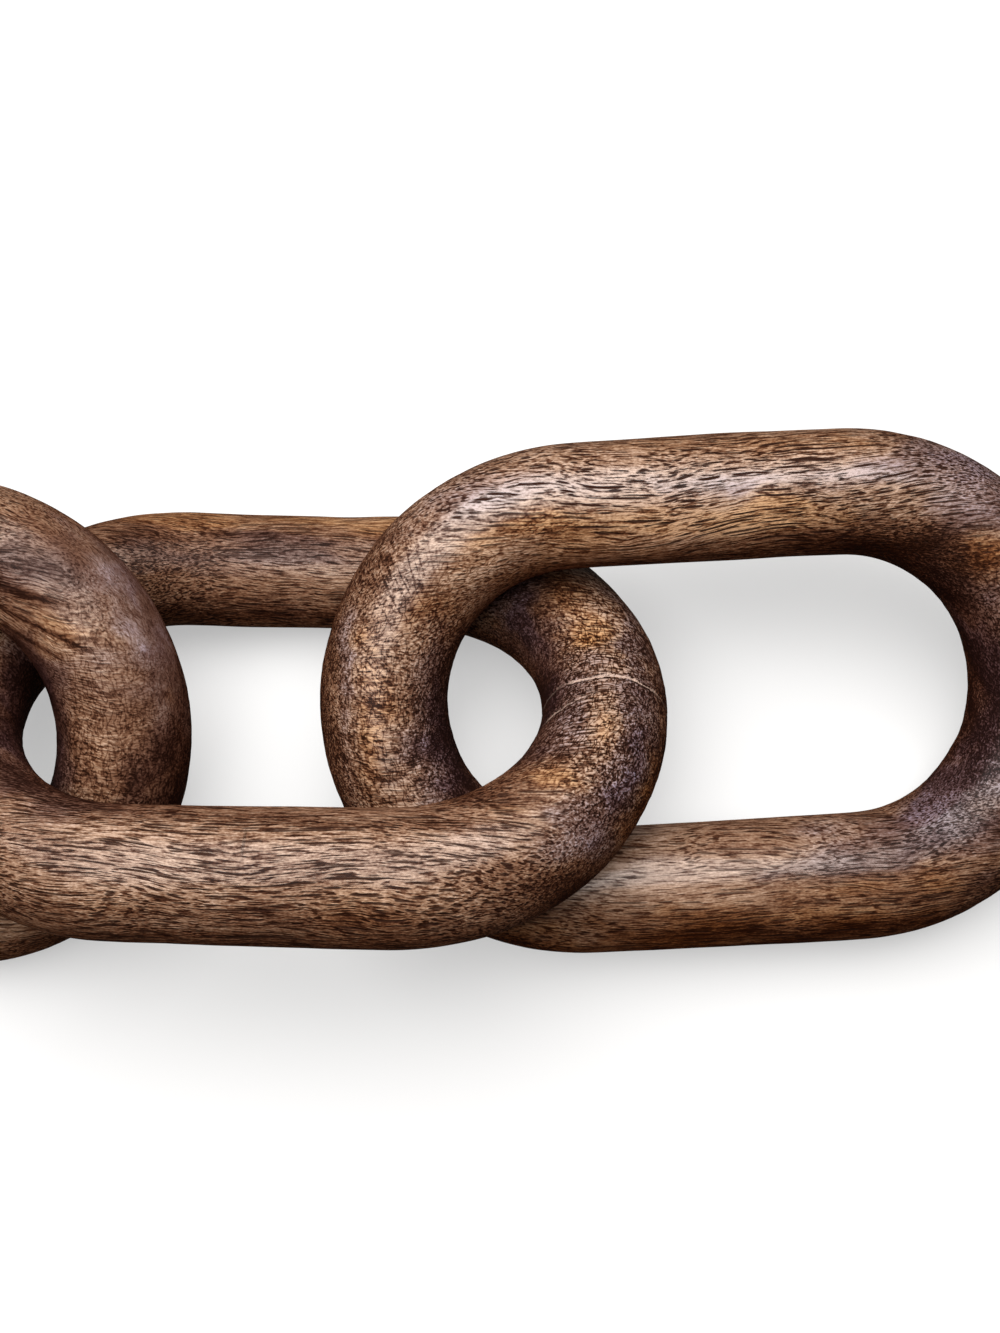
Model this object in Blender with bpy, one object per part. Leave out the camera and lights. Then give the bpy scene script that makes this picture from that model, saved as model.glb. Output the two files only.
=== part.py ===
"""Carved wooden chain: three interlocked oval links, lying as they settle on a table.

Each link is one closed oval of round rod, carved by hand, so the rod's thickness and the
oval's outline wander a little. The left and right links lean with their far rail raised,
the middle link leans the other way, and each rests on its neighbour and on the table.
Sizes below are in millimetres and degrees. The model is in metres, +Z up, with the table
at Z = 0 and the origin under the middle of the chain.
"""

import math

import bmesh
import bpy
import numpy as np

MM = 0.001

# Eight places round a link, evenly spaced along it, anticlockwise from above: the right
# end, far right bend, far rail, far left bend, left end, near left bend, near rail and
# near right bend. The rod and the outline are gauged there.
#
# half_length, half_width: of the rod's centre line, from the middle of the link.
# end_left, end_right: how long each rounded end is, from the end of the straight rails.
# rod: the rod's radius at each of the eight places.
# swell: how far the centre line stands outside (+) or inside (-) the true oval there.
# centre, lean: where the link lies, and its turns about X, Y and Z.
LINKS = {
    "link_left": dict(
        half_length=63.6,
        half_width=35.7,
        end_left=35.8,
        end_right=34.2,
        rod=(12.7, 12.6, 12.8, 12.7, 12.7, 12.6, 12.1, 11.9),
        swell=(-0.6, -1.0, 0.2, 0.0, -0.1, 0.2, -0.9, 0.3),
        centre=(-88.62, -3.22, 28.62),
        lean=(27.96, 0.66, -5.50),
    ),
    "link_middle": dict(
        half_length=62.4,
        half_width=38.6,
        end_left=37.8,
        end_right=39.2,
        rod=(12.3, 12.3, 12.0, 12.2, 11.9, 12.1, 12.4, 12.6),
        swell=(-1.1, 1.4, 0.0, -0.4, -0.3, 0.6, 0.0, -1.2),
        centre=(4.80, -3.05, 28.09),
        lean=(-24.50, -0.64, -2.67),
    ),
    "link_right": dict(
        half_length=64.2,
        half_width=37.7,
        end_left=37.6,
        end_right=37.5,
        rod=(13.0, 12.6, 12.5, 12.3, 12.6, 12.3, 12.4, 12.7),
        swell=(-0.2, 0.0, 0.2, -0.2, 0.1, -0.5, -0.2, -0.2),
        centre=(87.83, 1.23, 25.76),
        lean=(19.90, 1.31, 3.73),
    ),
}

STATIONS = 64  # rings round a link
SECTION_RES = 8  # a rod of 20 sides
END_STEPS = 40  # for measuring along a rounded end
RAIL_STEPS = 28  # for measuring along a straight rail

# Stained wood, one tone a link
STAIN = {
    "link_left": (0.150, 0.086, 0.052, 1.0),
    "link_middle": (0.168, 0.094, 0.055, 1.0),
    "link_right": (0.162, 0.090, 0.054, 1.0),
}
STAIN_ROUGHNESS = 0.48

# The table plane takes a shaving off each link where it touches, as a carver's rub on
# abrasive paper would, so that the link lies still.
FLOOR_BLOCK = (500.0, 300.0, 40.0)


def clear_scene():
    for obj in list(bpy.data.objects):
        bpy.data.objects.remove(obj, do_unlink=True)


def collection(name):
    made = bpy.data.collections.new(name)
    bpy.context.scene.collection.children.link(made)
    return made


def closed_curve(values, at):
    """A smooth closed curve through evenly spaced values, read at 0 <= at < 1."""
    y = np.asarray(values, float)
    n = len(y)
    step = 1.0 / n
    # second derivatives of the periodic cubic spline
    system = np.zeros((n, n))
    for k in range(n):
        system[k, k] = 4.0
        system[k, (k - 1) % n] = system[k, (k + 1) % n] = 1.0
    bend = np.linalg.solve(
        system, 6.0 * (np.roll(y, -1) - 2.0 * y + np.roll(y, 1)) / step**2
    )
    t = (np.asarray(at, float) % 1.0) * n
    i = np.floor(t).astype(int) % n
    j = (i + 1) % n
    b = t - np.floor(t)
    a = 1.0 - b
    return (
        a * y[i]
        + b * y[j]
        + ((a**3 - a) * bend[i] + (b**3 - b) * bend[j]) * step**2 / 6.0
    )


def oval(half_length, half_width, end_left, end_right):
    """The true oval: two straight rails and two half-ellipse ends, anticlockwise from the
    right end, as closely spaced points."""
    turn = np.linspace(0.0, math.pi / 2, END_STEPS)
    right, left = half_length - end_right, half_length - end_left
    rail = np.linspace(right, -left, RAIL_STEPS + 2)[1:-1]
    far = np.concatenate(
        [
            np.stack([right + end_right * np.cos(turn), half_width * np.sin(turn)], 1),
            np.stack([rail, np.full(RAIL_STEPS, half_width)], 1),
            np.stack([-left - end_left * np.cos(turn), half_width * np.sin(turn)], 1)[
                ::-1
            ],
        ]
    )
    near = far[::-1][1:] * (1.0, -1.0)
    return np.concatenate([far, near])


def centre_line(size, count):
    """Points along the rod's centre line, the outward direction at each, and where each
    one is as a share of the way round."""
    path = oval(
        size["half_length"], size["half_width"], size["end_left"], size["end_right"]
    )
    along = np.concatenate(
        [[0.0], np.cumsum(np.linalg.norm(np.diff(path, axis=0), axis=1))]
    )
    share = np.arange(count) / count
    at = share * along[-1]
    points = np.stack([np.interp(at, along, path[:, k]) for k in (0, 1)], 1)
    ahead = np.roll(points, -1, 0) - np.roll(points, 1, 0)
    ahead /= np.linalg.norm(ahead, axis=1)[:, None]
    outward = np.stack([ahead[:, 1], -ahead[:, 0]], 1)
    points = points + outward * closed_curve(size["swell"], share)[:, None]
    return points, outward, share


def wood(name, colour):
    material = bpy.data.materials.new(name)
    material.use_nodes = True
    shader = material.node_tree.nodes["Principled BSDF"]
    shader.inputs["Base Color"].default_value = colour
    shader.inputs["Roughness"].default_value = STAIN_ROUGHNESS
    shader.inputs["Metallic"].default_value = 0.0
    material.diffuse_color = colour
    return material


def make_rod_ring(name, size, into):
    """One link: a closed rod along the oval, with the carver's radius at each ring."""
    points, _, share = centre_line(size, STATIONS)
    radius = closed_curve(size["rod"], share)
    curve = bpy.data.curves.new(name + "_path", "CURVE")
    curve.dimensions = "3D"
    curve.twist_mode = "Z_UP"
    curve.fill_mode = "FULL"
    curve.bevel_depth = MM
    curve.bevel_resolution = SECTION_RES
    spline = curve.splines.new("POLY")
    spline.points.add(STATIONS - 1)
    for point, (x, y), r in zip(spline.points, points, radius):
        point.co = (x * MM, y * MM, 0.0, 1.0)
        point.radius = r
    spline.use_cyclic_u = True
    path = bpy.data.objects.new(name + "_path", curve)
    path.location = [v * MM for v in size["centre"]]
    path.rotation_euler = [math.radians(v) for v in size["lean"]]
    into.objects.link(path)
    bpy.context.view_layer.update()

    evaluated = path.evaluated_get(bpy.context.evaluated_depsgraph_get())
    mesh = bpy.data.meshes.new_from_object(evaluated)
    mesh.name = name
    welded = bmesh.new()
    welded.from_mesh(mesh)
    bmesh.ops.remove_doubles(welded, verts=welded.verts, dist=1e-6)
    bmesh.ops.recalc_face_normals(welded, faces=welded.faces)
    welded.to_mesh(mesh)
    welded.free()
    link = bpy.data.objects.new(name, mesh)
    link.matrix_world = path.matrix_world
    into.objects.link(link)
    bpy.data.objects.remove(path, do_unlink=True)
    bpy.data.curves.remove(curve)
    mesh.materials.clear()
    mesh.materials.append(wood(name + "_stain", STAIN[name]))
    mesh.shade_smooth()
    mesh.set_sharp_from_angle(angle=math.radians(40))
    return link


def make_floor_block(into):
    """The block under the table plane that the resting flats are cut with."""
    mesh = bpy.data.meshes.new("table_plane_block")
    block = bmesh.new()
    bmesh.ops.create_cube(block, size=1.0)
    bmesh.ops.scale(block, vec=[v * MM for v in FLOOR_BLOCK], verts=block.verts)
    bmesh.ops.translate(
        block, vec=(0.0, 0.0, -FLOOR_BLOCK[2] * MM / 2), verts=block.verts
    )
    block.to_mesh(mesh)
    block.free()
    obj = bpy.data.objects.new("table_plane_block", mesh)
    obj.hide_render = True
    obj.display_type = "WIRE"
    into.objects.link(obj)
    return obj


def rest_flat(link, block):
    cut = link.modifiers.new("resting_flat", "BOOLEAN")
    cut.operation = "DIFFERENCE"
    cut.solver = "EXACT"
    cut.object = block


def main():
    clear_scene()
    chain = collection("carved_wooden_chain")
    cutters = collection("cutters")
    block = make_floor_block(cutters)
    for name, size in LINKS.items():
        rest_flat(make_rod_ring(name, size, chain), block)
    bpy.context.view_layer.update()


main()
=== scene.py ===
"""Looks of the carved wooden chain: three interlocked oval links of open-pored wood,
stained dark brown and waxed to a satin finish.

Each link is a dense surface swept round the same oval and rod sizes as its solid, with the
carver's unevenness, a raised grain and the glued joint cut into it. Every point carries
its place in the timber it was cut from (grain, radial and tangential distances in
millimetres), so pores and fibres run through the link as they do in real wood: long
dashes on the rails, dots and short strokes where the ends cut across the grain.
"""

import math

import bpy
import numpy as np
from mathutils import Euler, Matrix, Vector


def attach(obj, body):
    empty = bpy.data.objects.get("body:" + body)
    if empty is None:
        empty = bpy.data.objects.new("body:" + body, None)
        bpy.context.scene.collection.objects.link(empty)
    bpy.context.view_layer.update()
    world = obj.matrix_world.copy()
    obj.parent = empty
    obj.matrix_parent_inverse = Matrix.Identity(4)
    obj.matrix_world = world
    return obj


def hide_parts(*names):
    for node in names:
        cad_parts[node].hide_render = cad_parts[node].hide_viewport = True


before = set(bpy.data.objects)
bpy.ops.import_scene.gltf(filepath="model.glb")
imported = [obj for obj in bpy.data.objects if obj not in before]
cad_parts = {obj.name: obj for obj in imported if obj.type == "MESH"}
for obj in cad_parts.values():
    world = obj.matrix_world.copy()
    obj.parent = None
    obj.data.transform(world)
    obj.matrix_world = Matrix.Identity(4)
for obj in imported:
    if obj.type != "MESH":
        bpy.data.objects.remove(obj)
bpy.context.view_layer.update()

MM = 0.001

# --------------------------------------------------------------------------- sizes
# As in the solid model, in millimetres and degrees: half length and half width of the
# rod's centre line, lengths of the two rounded ends, the rod's radius and the outline's
# swell at eight places round the link, and where the link lies.
LINKS = {
    "link_left": dict(
        half_length=63.6,
        half_width=35.7,
        end_left=35.8,
        end_right=34.2,
        rod=(12.7, 12.6, 12.8, 12.7, 12.7, 12.6, 12.1, 11.9),
        swell=(-0.6, -1.0, 0.2, 0.0, -0.1, 0.2, -0.9, 0.3),
        centre=(-88.62, -3.22, 28.62),
        lean=(27.96, 0.66, -5.50),
    ),
    "link_middle": dict(
        half_length=62.4,
        half_width=38.6,
        end_left=37.8,
        end_right=39.2,
        rod=(12.3, 12.3, 12.0, 12.2, 11.9, 12.1, 12.4, 12.6),
        swell=(-1.1, 1.4, 0.0, -0.4, -0.3, 0.6, 0.0, -1.2),
        centre=(4.80, -3.05, 28.09),
        lean=(-24.50, -0.64, -2.67),
    ),
    "link_right": dict(
        half_length=64.2,
        half_width=37.7,
        end_left=37.6,
        end_right=37.5,
        rod=(13.0, 12.6, 12.5, 12.3, 12.6, 12.3, 12.4, 12.7),
        swell=(-0.2, 0.0, 0.2, -0.2, 0.1, -0.5, -0.2, -0.2),
        centre=(87.83, 1.23, 25.76),
        lean=(19.90, 1.31, 3.73),
    ),
}
END_STEPS = 40
RAIL_STEPS = 28

RINGS = 640  # round the link
SIDES = 150  # round the rod: 192,000 triangles a link

# --------------------------------------------------------------------------- timber
# Where each link was cut from: the growth rings' direction across the link (degrees from
# the link's own plane), ring spacing, how curly the grain is, how much wax it took, and an
# offset that makes each cut different.
TIMBER = {
    "link_left": dict(
        seed=11, ring_turn=62.0, ring=9.0, curl=0.55, gloss=0.50, offset=(140, 35, 20)
    ),
    "link_middle": dict(
        seed=23, ring_turn=35.0, ring=11.0, curl=0.22, gloss=0.50, offset=(20, -60, 75)
    ),
    "link_right": dict(
        seed=37, ring_turn=50.0, ring=10.0, curl=0.14, gloss=0.68, offset=(-90, 15, -45)
    ),
}

# Broad differences in the stain: the middle of each in the link's own millimetres,
# how far it reaches along, across and up, then how much lighter (+) or darker (-), more
# golden (+) or purple-grey (-), and glossier (+) or drier (-) the wood is there.
# Some of these are painted light: darker inner sides are partly painted shade, some lighter crests
# are painted highlight or sheen, and the strongest purple-grey (-) turns into a painted bluish
# reflection.
PATCHES = {
    "link_left": (
        # grey smooth shoulder, partly a painted sheen, and the dark below it
        ((65, 29, 2), (14, 15, 9), 0.30, -1.2, 0.2),
        ((60, 20, 13), (5, 5, 4), -0.14, -0.4, 0.0),
        ((69, -9, 8), (8, 12, 9), -0.30, -0.5, -0.3),
        ((73, 14, 1), (5, 16, 8), 0.16, -0.8, 0.0),
        # tan crest
        ((62, 1, 13), (4, 14, 4), 0.06, 0.5, -0.1),
        ((53, 22.5, 12), (8, 4, 5), 0.22, 1.2, -0.1),
        ((44, 34, 12), (14, 5, 6), -0.04, -0.6, 0.0),
        # dark inside, partly stain and partly painted shade
        ((47, 8, 5), (5.5, 26, 8), -0.24, -1.0, 0.0),
        ((52, -2, 8), (4, 18, 7), -0.18, -1.1, 0.0),
    ),
    "link_middle": (
        # right end: dark all round, with golden places on the crest; darker on the inner side,
        # partly painted shade
        ((60, -4, 9), (13, 32, 9), -0.06, -0.8, 0.0),
        ((59, 12, 11.5), (5, 7, 5), 0.04, 2.0, -0.1),
        ((53, 23, 12), (6, 6, 5), -0.24, 1.2, -0.1),
        ((61, -11, 12.5), (3.5, 8, 5), 0.18, 1.6, 0.1),
        ((53, -24, 13), (6, 4, 5), 0.16, 1.4, 0.1),
        ((44, -31, 13), (6, 3, 5), 0.08, 0.8, 0.0),
        ((65, -22, 7), (5, 11, 5), -0.04, -1.6, 0.5),
        ((69, -25, 0), (7, 14, 5), 0.04, 1.6, -0.2),
        ((66, 2, 8), (4, 20, 6), -0.10, -0.8, 0.1),
        ((48, 2, 6), (6, 18, 7), -0.24, -1.6, 0.1),
        ((45, 23, 6), (6, 7, 6), -0.22, -2.2, -0.1),
        ((46, -26, 10), (8, 5, 4), -0.18, -0.2, 0.0),
        ((56, -32, 9), (9, 7, 5), 0.08, -0.7, 0.1),
        ((39, -28, 11), (8, 5, 5), -0.20, -0.2, 0.0),
        ((44, -46, 5), (14, 5, 6), -0.16, 0.2, 0.0),
        ((54, -38, 1), (12, 5, 5), -0.18, 0.4, -0.2),
        ((73, 0, 2), (5, 30, 7), -0.04, 0.3, -0.3),
        # left end, inside and over the top: darker, partly stain and partly painted shade
        ((-50, -5, 5), (7, 28, 9), -0.14, -1.6, 0.0),
        ((-39, -28, 10), (18, 7, 7), -0.42, -0.6, -0.1),
        ((-36, -45, 8), (18, 6, 8), -0.14, 0.0, -0.1),
        # near rail: two dark streaks, a pale band between, a dark foot
        ((15, -35, 12), (36, 1.5, 2.5), -0.24, 0.0, 0.0),
        ((2, -47.2, 9), (38, 2.2, 3), 0.06, 0.1, 0.0),
        ((14, -48.5, 6), (12, 3, 5), -0.18, 0.0, 0.0),
        ((-28, -38, 12.5), (14, 3, 5), 0.09, 0.0, 0.0),
        ((50, -35, 11), (8, 5, 5), 0.14, 0.0, 0.1),
        ((2, -49.8, 5), (42, 1.5, 2.0), -0.24, 0.2, 0.0),
        ((5, -50.6, 0), (60, 3, 5), -0.14, 0.1, -0.2),
        # far rail: golden top, a purple band, dark beneath
        ((-12, 36, 9), (52, 10, 8), -0.16, 0.6, -0.3),
        ((-10, 43, 8), (48, 4, 6), 0.10, 0.9, -0.1),
        ((-10, 38, 12), (10, 3, 5), 0.12, 0.1, 0.0),
        ((-8, 32, 10), (28, 2.4, 3), -0.14, -1.2, 0.1),
        ((-10, 26, -1), (45, 4, 3.2), -0.42, 0.1, -0.2),
        ((-6, 36, 11.5), (22, 2, 3), -0.14, -1.2, 0.1),
        ((-34, 32, 9), (12, 8, 9), -0.22, -0.4, -0.1),
    ),
    "link_right": (
        # far rail: golden below the crest, a silvery crest that is a painted sheen, red-brown top
        ((-38, 26, 10), (16, 6, 6), 0.06, 0.5, -0.2),
        ((-12, 32, 11), (26, 6, 6), 0.32, 0.7, 0.0),
        ((4, 39, 12), (6, 6, 5), 0.14, -0.2, 0.1),
        ((-18, 41, 12), (10, 4, 5), -0.12, 0.0, 0.0),
        ((-60, 26, 9), (8, 10, 8), 0.08, -0.4, 0.1),
        ((-46, 22, 8), (8, 6, 6), 0.18, -0.5, 0.0),
        ((43, 18, 4), (5, 5, 6), -0.24, -0.4, 0.0),
        ((50, 10, 5), (4, 8, 6), 0.16, -0.9, 0.0),
        ((47, 19, 8), (5, 5, 5), -0.16, -0.3, 0.0),
        ((12, 34.0, 12), (14, 4.0, 5), 0.06, 1.0, 0.0),
        ((34, 34.5, 12), (14, 4.0, 5), 0.10, 0.2, 0.0),
        ((46, 27, 10), (8, 5, 5), -0.16, -0.4, 0.0),
        ((24, 27.5, 7), (20, 4, 6), -0.42, 0.3, -0.1),
        ((-46, 41, 10), (20, 7, 6), 0.14, -0.2, 0.25),
        ((8, 40, 12), (50, 3.5, 5), 0.10, -0.6, 0.2),
        ((5, 47, 7), (55, 4, 7), -0.14, 0.5, -0.2),
        ((-54, 20, 12), (8, 5, 6), -0.06, 0.8, -0.2),
        ((-33, 33.5, 12), (9, 3, 4), -0.10, 0.9, -0.2),
        # right bend: darker inside, partly painted shade, with a painted bluish highlight low down
        ((38, 24, 5), (14, 5, 6), -0.32, -0.1, -0.1),
        ((50, 4, 3), (6, 12, 8), -0.14, -0.6, 0.0),
        ((46, 42, 8), (16, 9, 8), 0.0, -1.2, 0.0),
        ((61, 0, 10), (12, 26, 9), -0.28, -1.3, 0.1),
        ((51, 31, 12), (8, 4, 5), -0.02, -0.9, 0.0),
        ((52, 24, 11), (6, 4, 5), 0.06, 2.2, 0.0),
        ((52, -1, 6), (4, 10, 6), -0.14, -0.8, 0.0),
        ((51, -16, 8), (6, 8, 7), -0.24, -1.6, 0.0),
        ((42, -20, 4), (9, 5, 6), -0.18, -2.6, 0.3),
        ((41, -24, 9), (9, 4.5, 5), 0.08, -0.8, 0.4),
        ((36, -30, 10), (18, 6, 7), -0.38, -1.3, -0.3),
        ((40, -37.5, 12), (14, 5, 6), -0.20, 0.5, -0.1),
        ((39, -37, 12.5), (6, 3, 5), 0.06, 0.8, 0.0),
        # near rail: a lighter crest, partly a painted highlight
        ((-4, -33, 11.5), (26, 3.5, 4), 0.17, 0.0, 0.1),
        ((8, -45.5, 9), (34, 1.8, 4), -0.22, 0.0, -0.1),
        ((22, -36.5, 12.5), (8, 2.5, 5), 0.06, 0.8, 0.0),
        ((20, -32.5, 11.5), (7, 2.5, 3), -0.22, -0.7, 0.2),
        ((8, -34, 12), (6, 2.0, 3), -0.14, -0.5, 0.1),
        ((-8, -46, 8), (46, 5, 8), -0.10, 1.2, -0.1),
        ((5, -46, 8), (62, 5, 8), -0.18, 0.4, -0.2),
        # left end: orange-tan middle, pale rim, dark inside (partly stain, partly painted shade)
        ((-66.5, 4, 12), (4.5, 17, 5), 0.0, 1.4, -0.1),
        ((-57, -13, 12), (6, 5, 5), 0.20, 0.3, 0.0),
        ((-70.5, 14, 10), (2.5, 24, 4), 0.08, -1.1, 0.2),
        ((-54, -4, 8), (5.5, 20, 8), -0.26, -1.7, 0.2),
        ((-75, 0, 2), (4, 34, 8), -0.14, 0.2, -0.2),
        ((-62, -21, 9), (10, 4, 6), -0.14, 0.3, -0.1),
        ((-49, -14, 6), (9, 7, 7), -0.34, -0.9, 0.1),
    ),
}

# Where the fibres run out of line: the middle of each place and its reach, then how far
# they climb sideways and upwards for each millimetre along.
FLOWS = {
    "link_left": (((49, 28, 12), (9, 12, 14), -0.30, 0.0),),
    "link_middle": (
        ((-20, -44, 10), (20, 12, 14), -0.08, 0.0),
        ((15, -40, 12), (9, 9, 12), 0.12, 0.0),
    ),
    "link_right": (
        ((-4, 29, 11), (16, 15, 16), 0.13, 0.0),
        ((30, 32, 11), (10, 12, 14), 0.10, 0.0),
        ((-44, 41, 10), (13, 12, 12), -0.04, 0.17),
        ((20, -40, 11), (16, 12, 14), -0.07, 0.0),
    ),
}

# Where the fibres dive into the wood and show as dots instead of lines: the middle of each
# place, its reach, and how much.
DIVES = {
    "link_left": (((44, 34, 12), (6, 3, 5), 0.5),),
    "link_middle": (((-2, -40, 12), (5, 3, 4), 0.6), ((24, -41, 12), (4, 3, 4), 0.5)),
    "link_right": (
        ((-33, 33.5, 12), (8, 3.5, 5), 0.9),
        ((-46, 25, 11), (12, 7, 7), 0.9),
        ((10, -38, 12), (5, 3, 4), 0.5),
    ),
}

# Where the wood was rubbed smooth or the stain drowns the grain (+), and where the grain
# stands out more (-): the middle of each place, its reach, and how much.
CALM = {
    "link_left": (
        ((69, 22, 2), (12, 20, 12), 0.75),
        ((72, -8, 4), (7, 22, 10), 0.55),
        ((57, 38, 6), (16, 7, 10), 0.45),
        ((48, 4, 5), (6.5, 30, 9), 1.0),
        ((60, 0, 10), (12, 40, 10), 0.2),
    ),
    "link_middle": (
        ((49, 5, 4), (6, 20, 7), 0.6),
        ((-50, -6, 6), (8, 26, 9), 0.7),
        ((-10, 36, 9), (55, 14, 14), 0.2),
        ((0, -42, 10), (46, 9, 9), -0.2),
        ((60, -2, 12), (9, 34, 6), -0.8),
    ),
    "link_right": (
        ((56, -2, 8), (10, 18, 8), 0.3),
        ((50, 12, 3), (7, 10, 7), 0.4),
        ((-4, -38, 10), (45, 14, 14), 0.35),
        ((0, 41, 11), (60, 8, 10), -0.5),
    ),
}

# Where slanting scratches cross the grain: the middle of each place, its reach, and how
# strong they are.
SCRATCHES = {
    "link_left": (((60, 2, 12), (5, 14, 5), 0.5),),
    "link_middle": (((58, -14, 12), (6, 14, 6), 0.4),),
    "link_right": (((-60, 26, 10), (7, 9, 7), 1.0), ((-66, 2, 12), (5, 14, 5), 0.8)),
}

# Carving depths, in millimetres
HAND_DEPTH = 0.22  # slow unevenness left by the knife
STROKE_DEPTH = 0.07  # shallow strokes along the rod
GRAIN_DEPTH = 0.07  # raised grain
SEAM_DEPTH = 0.22

# The glued joint across the middle link's right end: where it crosses, in the link's own
# lengthwise and sideways millimetres.
SEAM_AT = 1.2
SEAM_WIDTH = 0.45


# --------------------------------------------------------------------------- noise
def lattice(ix, iy, iz, seed):
    h = (ix * 73856093) ^ (iy * 19349663) ^ (iz * 83492791) ^ (seed * 97531)
    h &= 0xFFFFFFFF
    h = (((h >> 16) ^ h) * 0x45D9F3B) & 0xFFFFFFFF
    h = (((h >> 16) ^ h) * 0x45D9F3B) & 0xFFFFFFFF
    h = (h >> 16) ^ h
    return (h & 0xFFFF) / 32767.5 - 1.0


def noise(points, seed=0):
    """Smooth value noise in -1..1 at the points."""
    p = np.asarray(points, float)
    base = np.floor(p).astype(np.int64)
    f = p - base
    f = f * f * f * (f * (f * 6 - 15) + 10)
    total = 0.0
    for dx in (0, 1):
        wx = f[:, 0] if dx else 1 - f[:, 0]
        for dy in (0, 1):
            wy = f[:, 1] if dy else 1 - f[:, 1]
            for dz in (0, 1):
                wz = f[:, 2] if dz else 1 - f[:, 2]
                total = total + wx * wy * wz * lattice(
                    base[:, 0] + dx, base[:, 1] + dy, base[:, 2] + dz, seed
                )
    return total


def layered(points, seed=0, octaves=3, gain=0.5):
    total, size, reach = 0.0, 1.0, 0.0
    p = np.asarray(points, float)
    for k in range(octaves):
        total = total + size * noise(p * 2.03**k + 17.3 * k, seed + 101 * k)
        reach += size
        size *= gain
    return total / reach


def smooth(edge0, edge1, x):
    t = np.clip((x - edge0) / (edge1 - edge0), 0.0, 1.0)
    return t * t * (3 - 2 * t)


# --------------------------------------------------------------------------- shape
def closed_curve(values, at):
    """A smooth closed curve through evenly spaced values, read at 0 <= at < 1."""
    y = np.asarray(values, float)
    n = len(y)
    step = 1.0 / n
    system = np.zeros((n, n))
    for k in range(n):
        system[k, k] = 4.0
        system[k, (k - 1) % n] = system[k, (k + 1) % n] = 1.0
    bend = np.linalg.solve(
        system, 6.0 * (np.roll(y, -1) - 2.0 * y + np.roll(y, 1)) / step**2
    )
    t = (np.asarray(at, float) % 1.0) * n
    i = np.floor(t).astype(int) % n
    j = (i + 1) % n
    b = t - np.floor(t)
    a = 1.0 - b
    return (
        a * y[i]
        + b * y[j]
        + ((a**3 - a) * bend[i] + (b**3 - b) * bend[j]) * step**2 / 6.0
    )


def oval(half_length, half_width, end_left, end_right):
    turn = np.linspace(0.0, math.pi / 2, END_STEPS)
    right, left = half_length - end_right, half_length - end_left
    rail = np.linspace(right, -left, RAIL_STEPS + 2)[1:-1]
    far = np.concatenate(
        [
            np.stack([right + end_right * np.cos(turn), half_width * np.sin(turn)], 1),
            np.stack([rail, np.full(RAIL_STEPS, half_width)], 1),
            np.stack([-left - end_left * np.cos(turn), half_width * np.sin(turn)], 1)[
                ::-1
            ],
        ]
    )
    near = far[::-1][1:] * (1.0, -1.0)
    return np.concatenate([far, near])


def centre_line(size, share):
    """Points on the rod's centre line and the outward direction there, at each share of
    the way round."""
    path = oval(
        size["half_length"], size["half_width"], size["end_left"], size["end_right"]
    )
    along = np.concatenate(
        [[0.0], np.cumsum(np.linalg.norm(np.diff(path, axis=0), axis=1))]
    )
    fine = np.arange(2048) / 2048
    at = fine * along[-1]
    points = np.stack([np.interp(at, along, path[:, k]) for k in (0, 1)], 1)
    ahead = np.roll(points, -12, 0) - np.roll(points, 12, 0)
    ahead /= np.linalg.norm(ahead, axis=1)[:, None]
    outward = np.stack([ahead[:, 1], -ahead[:, 0]], 1)
    points = points + outward * closed_curve(size["swell"], fine)[:, None]

    def read(values):
        return np.interp(share, np.arange(2049) / 2048, np.append(values, values[0]))

    centre = np.stack([read(points[:, 0]), read(points[:, 1])], 1)
    out = np.stack([read(outward[:, 0]), read(outward[:, 1])], 1)
    out /= np.linalg.norm(out, axis=1)[:, None]
    return centre, out, along[-1]


def ring_shares(count, focus=None, strength=0.0, width=0.02):
    """Where the rings stand, closer together round each place of focus."""
    fine = np.linspace(0.0, 1.0, 20001)
    density = np.ones_like(fine)
    for at in focus or ():
        gap = np.abs((fine - at + 0.5) % 1.0 - 0.5)
        density += strength * np.exp(-((gap / width) ** 2))
    total = np.concatenate([[0.0], np.cumsum((density[1:] + density[:-1]) / 2)])
    return np.interp(np.arange(count) / count * total[-1], total, fine)


def timber_place(local, wood, flows):
    """Grain, radial and tangential millimetres of points given in the link's own frame,
    with the slow wander of real grain."""
    turn = math.radians(wood["ring_turn"])
    x, y, z = local.T
    for middle, reach, sideways, upwards in flows:
        place_in = (local - middle) / reach
        there = np.exp(-(place_in[:, 1:] ** 2).sum(1)) * reach[0] * np.tanh(place_in[:, 0])
        y = y - sideways * there
        z = z - upwards * there
    radial = y * math.cos(turn) + z * math.sin(turn)
    tangent = -y * math.sin(turn) + z * math.cos(turn)
    p = np.stack([x, radial, tangent], 1) + wood["offset"]
    slow = p / (50.0, 30.0, 30.0)
    drift = np.stack(
        [
            np.zeros(len(p)),
            layered(slow, wood["seed"] + 1, 2),
            layered(slow + 31.7, wood["seed"] + 2, 2),
        ],
        1,
    )
    mid = p / (18.0, 8.0, 8.0)
    ripple = np.stack(
        [
            np.zeros(len(p)),
            noise(mid, wood["seed"] + 3),
            noise(mid + 11.9, wood["seed"] + 4),
        ],
        1,
    )
    close = p / (5.0, 4.0, 4.0)
    curl = np.stack(
        [
            np.zeros(len(p)),
            noise(close + 5.3, wood["seed"] + 15),
            noise(close + 19.1, wood["seed"] + 16),
        ],
        1,
    )
    return p + 4.5 * drift + 0.7 * ripple + wood["curl"] * curl


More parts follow.
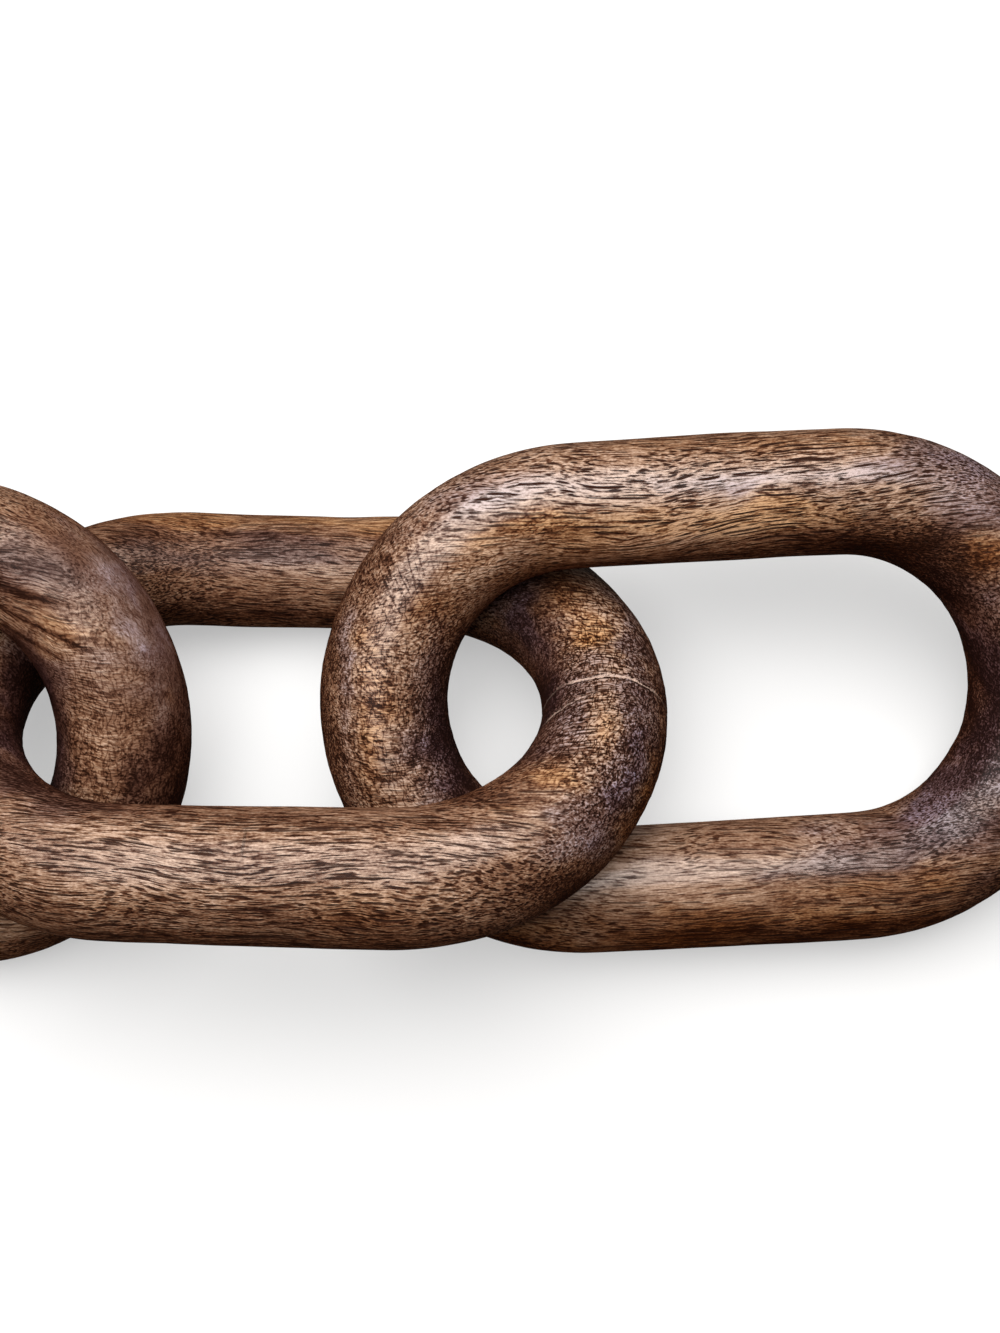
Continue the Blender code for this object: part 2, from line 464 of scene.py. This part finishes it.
def link_surface(name):
    size, wood = LINKS[name], TIMBER[name]
    seed = wood["seed"]
    if name == "link_middle":
        share = ring_shares(RINGS, (0.004,), 5.0, 0.006)
    else:
        share = ring_shares(RINGS)
    centre, out, length = centre_line(size, share)
    radius = closed_curve(size["rod"], share)
    phi = np.arange(SIDES) / SIDES * 2 * math.pi
    cos, sin = np.cos(phi), np.sin(phi)
    normal = np.zeros((RINGS, SIDES, 3))
    normal[:, :, 0] = out[:, None, 0] * cos
    normal[:, :, 1] = out[:, None, 1] * cos
    normal[:, :, 2] = sin
    start = np.zeros((RINGS, 1, 3))
    start[:, 0, :2] = centre
    local = start + radius[:, None, None] * normal
    local, normal = local.reshape(-1, 3), normal.reshape(-1, 3)
    s = np.repeat(share * length, SIDES)
    arc = np.tile(phi, RINGS)

    place = timber_place(local, wood, FLOWS[name])

    # the knife's slow unevenness, shallow strokes along the rod, and the raised grain
    hand = layered(local / 19.0, seed + 5, 2)
    strokes = noise(
        np.stack(
            [
                12.0 * np.cos(2 * math.pi * s / length),
                12.0 * np.sin(2 * math.pi * s / length),
                arc * 3.4,
            ],
            1,
        )
        / 1.7,
        seed + 6,
    )
    grain = layered(place / (15.0, 1.5, 1.5), seed + 7, 2)
    depth = (
        HAND_DEPTH * (hand - 0.75)
        + STROKE_DEPTH * (strokes - 0.6)
        + GRAIN_DEPTH * (grain - 0.3)
    )
    depth = np.minimum(depth, 0.06)

    # distance round the link from the middle of the nearer end, and the place across the rod
    right_end = (share < 0.25) | (share > 0.75)
    from_end = np.where(right_end, (share + 0.5) % 1.0 - 0.5, share - 0.5) * length
    from_end = np.where(right_end, from_end, from_end + 700.0)
    around = np.stack(
        [
            np.repeat(from_end, SIDES),
            np.repeat(radius, SIDES) * np.tile(cos, RINGS),
            np.repeat(radius, SIDES) * np.tile(sin, RINGS),
        ],
        1,
    )
    bend = np.abs(out[:, 0])  # 1 in the middle of an end, 0 on the rails
    ends = np.repeat(smooth(0.45, 0.95, bend), SIDES)
    for middle, reach, amount in DIVES[name]:
        there = np.exp(-(((local - middle) / reach) ** 2).sum(1))
        ends = np.maximum(ends, amount * there)

    tone = np.zeros(len(local))
    warm = np.zeros(len(local))
    seam = np.full(len(local), 9.0)
    glue = np.zeros(len(local))

    # growth rings: slow bands, with a thin dark line now and then
    band = place[:, 1] / wood["ring"]
    tone += 0.06 * np.sin(2 * math.pi * (band + 0.35 * noise(place / 23.0, seed + 8)))
    # broad clouds in the stain
    tone += 0.09 * layered(place / (34.0, 11.0, 11.0), seed + 9, 3)
    warm += 0.5 * layered(local / 21.0, seed + 10, 2)
    # where the surface cuts across the grain it takes more stain
    cross = np.abs(normal[:, 0])

    calm = np.zeros(len(local))
    for middle, reach, amount in CALM[name]:
        place_in = (local - middle) / reach
        calm += amount * np.exp(-(place_in**2).sum(1))
    calm = np.clip(calm, -0.8, 1.0)
    # with fewer dark marks the stain itself is darker
    tone -= 0.07 * calm + 0.04 * ends

    hatch = np.zeros(len(local))
    for middle, reach, amount in SCRATCHES[name]:
        place_in = (local - middle) / reach
        hatch = np.maximum(hatch, amount * np.exp(-(place_in**2).sum(1)))

    gloss = np.full(len(local), wood["gloss"])
    ragged = np.stack(
        [layered(local / (9.0, 5.0, 5.0) + 7.7 * k, seed + 13 + k, 2) for k in range(3)], 1
    )
    for middle, reach, lighter, golden, glossy in PATCHES[name]:
        place_in = (local - middle) / reach + 0.7 * ragged
        share_of = np.exp(-(place_in**2).sum(1))
        tone += lighter * share_of
        warm += golden * share_of
        gloss += glossy * share_of

    if name == "link_middle":
        on_end = local[:, 0] > 0
        wander = 0.30 * noise(local / 2.2, seed + 12) + 0.35 * noise(local / 7.0, seed + 21)
        gap = local[:, 1] - SEAM_AT - wander
        groove = np.exp(-((gap / SEAM_WIDTH) ** 2)) * on_end
        depth -= SEAM_DEPTH * groove
        # the pale glue shows on top of the rod and fades out down its sides
        shown = smooth(30, 62, np.degrees(arc)) * smooth(134, 118, np.degrees(arc))
        seam = np.where(on_end, gap, 9.0)
        glue = np.where(on_end, 0.12 + 0.88 * shown, 0.0)

        # a shorter crack below it, filled the same way
        crack = local[:, 1] + 5.5 - 0.33 * (local[:, 0] - 51.0) - wander
        inside = smooth(49, 51, local[:, 0]) * smooth(61, 57, local[:, 0]) * (normal[:, 2] > 0)
        near = (np.abs(crack) < 1.0) & (np.abs(gap) > 1.0) & (inside > 0)
        depth -= 0.10 * np.exp(-((crack / 0.4) ** 2)) * inside
        seam = np.where(near, crack, seam)
        glue = np.where(near, 0.42 * inside, glue)

    if name == "link_right":
        # growth rings breaking out on the left end: dark lines round a tan middle
        along, aside = (local[:, 0] + 64.0) / 7.6, (local[:, 1] - 2.0) / 14.5
        ring = np.hypot(along, aside) + 0.05 * ragged[:, 0]
        seen = smooth(2.0, -8.0, local[:, 1]) * (normal[:, 2] > 0.2) * (local[:, 0] < -40)
        for at, wide, much in ((1.0, 0.04, -0.30), (1.12, 0.07, 0.16), (1.28, 0.04, -0.26)):
            line = np.exp(-(((ring - at) / wide) ** 2)) * seen
            tone += much * line
            depth += 0.05 * np.sign(much) * line

    if name == "link_left":
        # dark streaks running out slantwise over the crest, wide at first and then thin
        over = normal[:, 2] > 0
        for x0, y0, x1, y1, wide, thin, much in (
            (36.0, 31.0, 55.0, 27.0, 1.6, 0.4, -0.50),
            (40.0, 26.2, 61.0, 18.6, 0.55, 0.35, -0.50),
            (40.0, 22.6, 55.0, 16.6, 0.50, 0.3, -0.36),
            (34.0, 35.2, 50.0, 32.6, 0.6, 0.3, -0.30),
        ):
            along = (local[:, 0] - x0) / (x1 - x0)
            off = local[:, 1] - y0 - along * (y1 - y0) - 0.35 * ragged[:, 1]
            wide_here = wide + (thin - wide) * np.clip(along, 0.0, 1.0)
            shown = smooth(-0.1, 0.15, along) * smooth(1.1, 0.8, along) * over
            tone += much * np.exp(-((off / wide_here) ** 2)) * shown
        # a nick in the smooth shoulder
        nick = np.exp(-(((local - (68.3, 18.8, 8.3)) / 0.45) ** 2).sum(1))
        tone -= 0.5 * nick
        depth -= 0.2 * nick

    local = local + depth[:, None] * normal

    turn = Euler([math.radians(a) for a in size["lean"]], "XYZ").to_matrix()
    world = local @ np.array(turn).T + size["centre"]
    # darker underneath, partly the stain and partly painted shade, and the wax was only rubbed on
    # from above
    facing = normal @ np.array(turn).T[:, 2]
    under_stain_and_shade = 1.0 - smooth(-0.35, 0.85, facing)
    tone -= 0.16 * under_stain_and_shade
    gloss *= 1.0 - smooth(0.0, 0.6, under_stain_and_shade)
    # the flat rubbed where the link lies on the table
    world[:, 2] = np.maximum(world[:, 2], 0.0)
    fields = dict(
        tone=tone,
        warm=warm,
        gloss=gloss,
        under_stain_and_shade=under_stain_and_shade,
        cross=cross,
        ends=ends,
        calm=calm,
        hatch=hatch,
        seam=seam,
        glue=glue,
    )
    return world * MM, dict(timber=place, around=around), fields


def link_object(name):
    world, places, fields = link_surface(name)
    count = RINGS * SIDES
    i, j = np.meshgrid(np.arange(RINGS), np.arange(SIDES), indexing="ij")
    i2, j2 = (i + 1) % RINGS, (j + 1) % SIDES
    quads = np.stack(
        [
            i * SIDES + j,
            i2 * SIDES + j,
            i2 * SIDES + j2,
            i * SIDES + j2,
        ],
        -1,
    ).reshape(-1, 4)
    mesh = bpy.data.meshes.new(name + "_carved")
    mesh.vertices.add(count)
    mesh.vertices.foreach_set("co", world.astype(np.float32).ravel())
    mesh.loops.add(len(quads) * 4)
    mesh.loops.foreach_set("vertex_index", quads.astype(np.int32).ravel())
    mesh.polygons.add(len(quads))
    mesh.polygons.foreach_set(
        "loop_start", np.arange(0, len(quads) * 4, 4, dtype=np.int32)
    )
    mesh.update(calc_edges=True)
    mesh.validate()
    mesh.shade_smooth()
    for key, values in places.items():
        at = mesh.attributes.new(key, "FLOAT_VECTOR", "POINT")
        at.data.foreach_set("vector", values.astype(np.float32).ravel())
    for key, values in fields.items():
        at = mesh.attributes.new(key, "FLOAT", "POINT")
        at.data.foreach_set("value", values.astype(np.float32))
    obj = bpy.data.objects.new(name + "_carved", mesh)
    bpy.context.scene.collection.objects.link(obj)
    return obj


# --------------------------------------------------------------------------- material
class Nodes:
    """Short calls for building a shader tree."""

    def __init__(self, tree):
        self.tree = tree

    def new(self, kind, **settings):
        node = self.tree.nodes.new(kind)
        for key, value in settings.items():
            setattr(node, key, value)
        return node

    def put(self, socket, value):
        if isinstance(value, bpy.types.NodeSocket):
            self.tree.links.new(value, socket)
        else:
            socket.default_value = value

    def math(self, operation, a, b=0.0, clamp=False):
        node = self.new("ShaderNodeMath", operation=operation, use_clamp=clamp)
        self.put(node.inputs[0], a)
        self.put(node.inputs[1], b)
        return node.outputs[0]

    def vector(self, operation, a, b):
        node = self.new("ShaderNodeVectorMath", operation=operation)
        self.put(node.inputs[0], a)
        self.put(node.inputs[1], b)
        return node.outputs[0]

    def field(self, name, output="Fac"):
        return self.new("ShaderNodeAttribute", attribute_name=name).outputs[output]

    def noise(self, at, detail=2.0, rough=0.5, output="Fac"):
        node = self.new("ShaderNodeTexNoise", noise_dimensions="3D")
        node.inputs["Scale"].default_value = 1.0
        node.inputs["Detail"].default_value = detail
        node.inputs["Roughness"].default_value = rough
        self.put(node.inputs["Vector"], at)
        return node.outputs[output]

    def cells(self, at):
        node = self.new("ShaderNodeTexVoronoi", feature="F1", voronoi_dimensions="3D")
        node.inputs["Scale"].default_value = 1.0
        self.put(node.inputs["Vector"], at)
        return node.outputs["Distance"], node.outputs["Color"]

    def ramp(self, value, low, high, to_low=0.0, to_high=1.0):
        node = self.new(
            "ShaderNodeMapRange", interpolation_type="SMOOTHSTEP", clamp=True
        )
        self.put(node.inputs["Value"], value)
        self.put(node.inputs["From Min"], low)
        self.put(node.inputs["From Max"], high)
        self.put(node.inputs["To Min"], to_low)
        self.put(node.inputs["To Max"], to_high)
        return node.outputs["Result"]

    def mix(self, share, a, b, blend="MIX"):
        node = self.new("ShaderNodeMix", data_type="RGBA", blend_type=blend)
        self.put(node.inputs[0], share)
        self.put(node.inputs[6], a)
        self.put(node.inputs[7], b)
        return node.outputs[2]

    def colours(self, value, stops):
        node = self.new("ShaderNodeValToRGB")
        band = node.color_ramp
        while len(band.elements) < len(stops):
            band.elements.new(0.5)
        for element, (at, colour) in zip(band.elements, stops):
            element.position = at
            element.color = (*colour, 1.0)
        self.put(node.inputs[0], value)
        return node.outputs[0]


def wood_material(name):
    material = bpy.data.materials.new(name)
    material.use_nodes = True
    tree = material.node_tree
    tree.nodes.clear()
    n = Nodes(tree)
    timber, around = n.field("timber", "Vector"), n.field("around", "Vector")
    tone, warm, gloss = n.field("tone"), n.field("warm"), n.field("gloss")
    cross, ends, under_stain_and_shade = n.field("cross"), n.field("ends"), n.field("under_stain_and_shade")
    calm, seam, glue_there = n.field("calm"), n.field("seam"), n.field("glue")
    hatch = n.field("hatch")

    # fine wander of the fibres
    wander = n.noise(n.vector("MULTIPLY", timber, (1 / 9.0, 1 / 2.6, 1 / 2.6)), 1.0, output="Color")
    wander = n.vector("SUBTRACT", wander, (0.5, 0.5, 0.5))
    wander = n.vector("MULTIPLY", wander, (0.0, 0.8, 0.8))
    at = n.vector("ADD", timber, wander)

    # vessels: long thin tubes along the grain, open where the surface cuts them
    across = n.new("ShaderNodeSeparateXYZ")
    n.put(across.inputs[0], n.vector("MULTIPLY", at, (1.0, 1 / 0.92, 1 / 0.92)))
    flat = n.new("ShaderNodeCombineXYZ")
    n.put(flat.inputs[0], across.outputs[1])
    n.put(flat.inputs[1], across.outputs[2])
    tube = n.new("ShaderNodeTexVoronoi", feature="F1", voronoi_dimensions="2D")
    tube.inputs["Scale"].default_value = 1.0
    n.put(tube.inputs["Vector"], flat.outputs[0])
    stops = n.noise(n.vector("MULTIPLY", at, (1 / 4.0, 1 / 0.9, 1 / 0.9)), 0.0)
    pores = n.ramp(tube.outputs["Distance"], 0.30, 0.15)
    pores = n.math("MULTIPLY", pores, n.ramp(stops, 0.36, 0.48))

    # the fibres' light and dark lines, longer on the rails and short on the ends
    line = n.noise(n.vector("MULTIPLY", at, (1 / 4.4, 1 / 0.31, 1 / 0.31)), 0.8, 0.5)
    short = n.noise(n.vector("MULTIPLY", at, (1 / 3.0, 1 / 0.42, 1 / 0.42)), 1.2, 0.5)
    fibre = n.noise(n.vector("MULTIPLY", at, (1 / 2.4, 1 / 0.30, 1 / 0.30)), 1.0, 0.5)
    streak = n.noise(n.vector("MULTIPLY", at, (1 / 30.0, 1 / 2.6, 1 / 2.6)), 3.0, 0.6)
    # fine marks of rubbing down, along the rod where it bends round
    bent = n.vector("ADD", around, n.vector("MULTIPLY", wander, (0.0, 1.4, 1.4)))
    rubbed = n.noise(n.vector("MULTIPLY", bent, (1 / 2.2, 1 / 1.0, 1 / 1.0)), 1.0, 0.6)

    # on the rails: dark dashes on a paler ground
    on_rail = n.ramp(line, 0.37, 0.50, -0.38, 0.10)
    # on the ends: short strokes along the grain crossed by others round the bend
    on_end = n.math(
        "ADD",
        n.ramp(short, 0.32, 0.60, -0.30, 0.14),
        n.ramp(n.math("ABSOLUTE", n.math("SUBTRACT", rubbed, 0.5)), 0.0, 0.09, -0.30, 0.10),
    )
    blend = n.new("ShaderNodeMix", data_type="FLOAT")
    n.put(blend.inputs[0], ends)
    n.put(blend.inputs[2], on_rail)
    n.put(blend.inputs[3], on_end)
    speck = n.noise(n.vector("MULTIPLY", timber, (1 / 0.6, 1 / 0.30, 1 / 0.30)), 1.0, 0.5)
    fine = n.math("ADD", blend.outputs[0], n.math("MULTIPLY", n.math("SUBTRACT", fibre, 0.5), 0.8))
    fine = n.math("ADD", fine, n.math("MULTIPLY", n.math("SUBTRACT", speck, 0.5), 0.7))
    # scratches slanting across the rod
    slant = n.new("ShaderNodeVectorRotate", rotation_type="Z_AXIS")
    n.put(slant.inputs["Vector"], around)
    slant.inputs["Angle"].default_value = math.radians(58.0)
    scratch = n.noise(n.vector("MULTIPLY", slant.outputs[0], (1 / 6.0, 1 / 0.5, 1 / 3.0)), 0.5, 0.5)
    scratch = n.ramp(scratch, 0.36, 0.46, -0.34, 0.04)
    fine = n.math("ADD", fine, n.math("MULTIPLY", scratch, hatch))
    # less of all this where the wood is rubbed smooth
    left = n.math("SUBTRACT", 1.0, n.math("MULTIPLY", calm, 0.8))
    fine = n.math("MULTIPLY", fine, left)
    pores = n.math("MULTIPLY", pores, left)
    pores = n.math("MULTIPLY", pores, n.ramp(ends, 0.0, 1.0, 1.0, 0.5))
    level = n.math("ADD", fine, n.math("MULTIPLY", n.math("SUBTRACT", streak, 0.5), 0.55))
    level = n.math("ADD", level, n.math("ADD", tone, 0.61))
    level = n.math("SUBTRACT", level, n.math("MULTIPLY", n.math("POWER", cross, 1.7), 0.25))
    body = n.colours(
        level,
        (
            (0.0, (0.012, 0.0036, 0.0016)),
            (0.25, (0.042, 0.0155, 0.0078)),
            (0.50, (0.104, 0.048, 0.026)),
            (0.75, (0.195, 0.115, 0.073)),
            (1.0, (0.330, 0.222, 0.162)),
        ),
    )
    # golden and purple-grey casts in the stain, the grey partly a painted sheen; the bluish cast is
    # a painted reflection of a bluish light
    golden = n.mix(1.0, body, (1.12, 0.98, 0.73, 1.0), "MULTIPLY")
    amber = n.mix(1.0, body, (1.27, 0.99, 0.52, 1.0), "MULTIPLY")
    grey_stain_and_sheen = n.mix(1.0, body, (0.80, 0.88, 1.18, 1.0), "MULTIPLY")
    painted_blue_reflection = n.mix(1.0, body, (0.70, 0.86, 1.65, 1.0), "MULTIPLY")
    body = n.mix(n.ramp(warm, 0.05, 0.9, 0.0, 1.0), body, golden)
    body = n.mix(n.ramp(warm, 0.9, 1.9, 0.0, 1.0), body, amber)
    body = n.mix(n.ramp(warm, -0.05, -0.8, 0.0, 1.0), body, grey_stain_and_sheen)
    body = n.mix(n.ramp(warm, -0.8, -1.8, 0.0, 1.0), body, painted_blue_reflection)

    # redder underneath, partly the stain and partly painted shade
    redder = n.mix(1.0, body, (1.22, 0.88, 0.66, 1.0), "MULTIPLY")
    body = n.mix(under_stain_and_shade, body, redder)

    body = n.mix(n.math("MULTIPLY", pores, 0.85), body, (0.020, 0.0075, 0.0046, 1.0))

    # glue squeezed out along the joint, and the dark line beside it
    blobs = n.noise(n.vector("MULTIPLY", around, (1 / 0.8, 1 / 1.3, 1 / 1.3)), 2.0, 0.6)
    half = n.math("ADD", 0.10, n.math("MULTIPLY", n.ramp(blobs, 0.40, 0.66), 0.34))
    off = n.math("ABSOLUTE", n.math("SUBTRACT", seam, 0.16))
    glue = n.ramp(off, half, n.math("MULTIPLY", half, 0.45))
    line = n.ramp(n.math("ABSOLUTE", n.math("ADD", seam, 0.30)), 0.26, 0.06)
    body = n.mix(n.math("MULTIPLY", glue, glue_there), body, (0.36, 0.255, 0.205, 1.0))
    line = n.math("MULTIPLY", line, n.math("MULTIPLY", n.ramp(glue_there, 0.0, 0.5), 0.8))
    body = n.mix(line, body, (0.012, 0.005, 0.003, 1.0))

    # wax sits on the raised fibres, and the dark hollows stay dry
    raised = n.ramp(level, 0.15, 0.75)
    raised = n.math("MULTIPLY", raised, n.math("SUBTRACT", 1.0, pores))
    rough = n.math("SUBTRACT", 0.75, n.math("MULTIPLY", raised, 0.25))

    height = n.math("SUBTRACT", fine, n.math("MULTIPLY", pores, 0.8))
    bump = n.new("ShaderNodeBump")
    bump.inputs["Strength"].default_value = 1.0
    bump.inputs["Distance"].default_value = 0.00019
    n.put(bump.inputs["Height"], height)

    shader = n.new("ShaderNodeBsdfPrincipled")
    n.put(shader.inputs["Base Color"], body)
    n.put(shader.inputs["Roughness"], rough)
    n.put(shader.inputs["Normal"], bump.outputs[0])
    shader.inputs["Specular IOR Level"].default_value = 0.02
    waxed = n.math("ADD", 0.12, n.math("MULTIPLY", raised, 0.88))
    n.put(shader.inputs["Coat Weight"], n.math("MULTIPLY", waxed, gloss))
    shader.inputs["Coat Roughness"].default_value = 0.30
    out = n.new("ShaderNodeOutputMaterial")
    n.put(out.inputs["Surface"], shader.outputs[0])
    return material


# --------------------------------------------------------------------------- build
wood = wood_material("stained_open_pored_wood")
for node in LINKS:
    piece = link_object(node)
    piece.data.materials.append(wood)
    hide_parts(node)
    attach(piece, "root")

# --------------------------------------------------------------------------- stage
floor_mesh = bpy.data.meshes.new("table_top")
floor_mesh.from_pydata(
    [(-2.5, -2.5, 0), (2.5, -2.5, 0), (2.5, 2.5, 0), (-2.5, 2.5, 0)],
    [],
    [(0, 1, 2, 3)],
)
floor = bpy.data.objects.new("table_top", floor_mesh)
bpy.context.scene.collection.objects.link(floor)
paint = bpy.data.materials.new("pale_table")
paint.use_nodes = True
shader = paint.node_tree.nodes["Principled BSDF"]
shader.inputs["Base Color"].default_value = (0.30, 0.30, 0.30, 1.0)
shader.inputs["Emission Color"].default_value = (1.0, 1.0, 1.0, 1.0)
shader.inputs["Emission Strength"].default_value = 0.45
shader.inputs["Roughness"].default_value = 0.9
shader.inputs["Specular IOR Level"].default_value = 0.1
floor_mesh.materials.append(paint)
# the white table isn't to light the wood from below
floor.visible_diffuse = False
floor.visible_glossy = False

# pale walls far behind, only seen and neither lighting nor shading anything
wall_mesh = bpy.data.meshes.new("backdrop")
wall_mesh.from_pydata(
    [(x, y, z) for z in (0, 3) for x, y in ((-2.5, -2.5), (2.5, -2.5), (2.5, 2.5), (-2.5, 2.5))],
    [],
    [(0, 1, 5, 4), (1, 2, 6, 5), (2, 3, 7, 6), (3, 0, 4, 7)],
)
wall = bpy.data.objects.new("backdrop", wall_mesh)
bpy.context.scene.collection.objects.link(wall)
wall_mesh.materials.append(paint)
wall.visible_diffuse = False
wall.visible_glossy = False
wall.visible_shadow = False

# Camera: in front of the chain and well above it, upright, 300 mm from its aim.
AIM = Vector((46.03, 10.20, 14.75)) * MM
CAMERA_UP = math.radians(71.764)
CAMERA_FAR = 299.84 * MM
FOCAL = 1465.843  # in picture heights of 1333 and widths of 1000
camera_data = bpy.data.cameras.new("camera")
camera_data.sensor_fit = "VERTICAL"
camera_data.sensor_height = 36.0
camera_data.lens = FOCAL * 36.0 / 1333.0
camera_data.clip_start = 0.01
camera = bpy.data.objects.new("camera", camera_data)
camera.location = AIM + CAMERA_FAR * Vector(
    (0.0, -math.cos(CAMERA_UP), math.sin(CAMERA_UP))
)
camera.rotation_euler = (math.pi / 2 - CAMERA_UP, 0.0, 0.0)
bpy.context.scene.collection.objects.link(camera)
bpy.context.scene.camera = camera


def area_light(name, at, aim, size, power, colour=(1.0, 1.0, 1.0)):
    data = bpy.data.lights.new(name, "AREA")
    data.shape = "RECTANGLE"
    data.size, data.size_y = size
    data.energy = power
    data.color = colour
    obj = bpy.data.objects.new(name, data)
    obj.location = at
    way = Vector(aim) - Vector(at)
    obj.rotation_euler = way.to_track_quat("-Z", "Y").to_euler()
    bpy.context.scene.collection.objects.link(obj)
    return obj


KEY_TILT = math.radians(9.0)  # behind the vertical
KEY_FAR = 0.6
key_at = Vector((-0.05, KEY_FAR * math.sin(KEY_TILT), KEY_FAR * math.cos(KEY_TILT)))
area_light("soft_key", key_at, (0.03, 0.0, 0.03), (0.75, 0.62), 12.0, (1.0, 0.985, 0.97))

world = bpy.data.worlds.new("room")
world.use_nodes = True
background = world.node_tree.nodes["Background"]
background.inputs["Color"].default_value = (1.0, 0.94, 0.88, 1.0)
background.inputs["Strength"].default_value = 0.10
bpy.context.scene.world = world
bpy.context.scene.view_settings.view_transform = "Standard"
